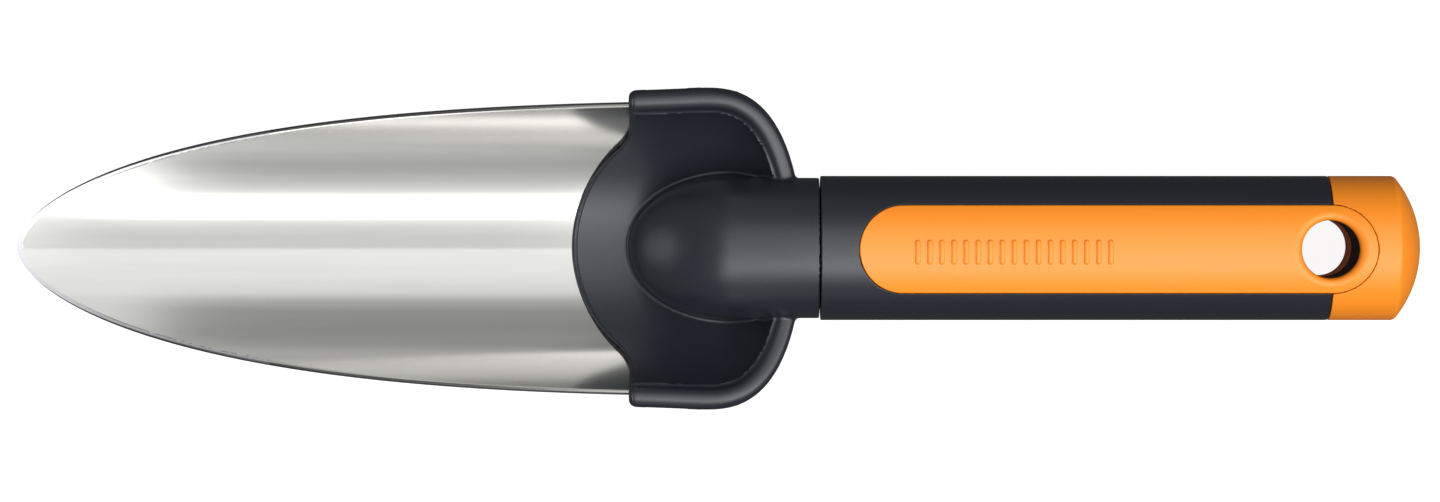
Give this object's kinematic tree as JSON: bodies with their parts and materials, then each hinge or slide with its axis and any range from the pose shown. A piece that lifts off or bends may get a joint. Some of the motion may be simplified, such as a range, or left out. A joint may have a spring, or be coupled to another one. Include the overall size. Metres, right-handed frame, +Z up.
{
  "type": "hand trowel",
  "caption": "Garden hand trowel: pointed stainless trough blade in a black moulded scoop head, on a straight round grip with orange inlays and end cap with a hanging hole.",
  "frame": {"origin": "centre of the whole tool's bounding box in X and Y, at the height of the surface that it lies on", "axes": "+X along the tool from the blade's tip to the end of the grip, +Y across it, +Z up out of the hollow side of the blade"},
  "size_m": [0.325, 0.0748, 0.0335],
  "materials": {
    "stainless_sheet": "fine satin brushed along the blade",
    "black_nylon": "matt fine spark-eroded texture",
    "core_nylon": "matt as moulded",
    "pin_steel": "plain drawn",
    "sleeve_black": "matt fine texture",
    "inlay_orange": "matt soft touch",
    "cap_orange": "matt smooth"
  },
  "bodies": {
    "root": {"blade": "stainless_sheet", "head_moulding": "black_nylon", "handle_core": "core_nylon", "cross_pin": "pin_steel", "grip_sleeve": "sleeve_black", "front_inlay": "inlay_orange", "rear_inlay": "inlay_orange", "end_cap": "cap_orange"}
  },
  "joints": []
}
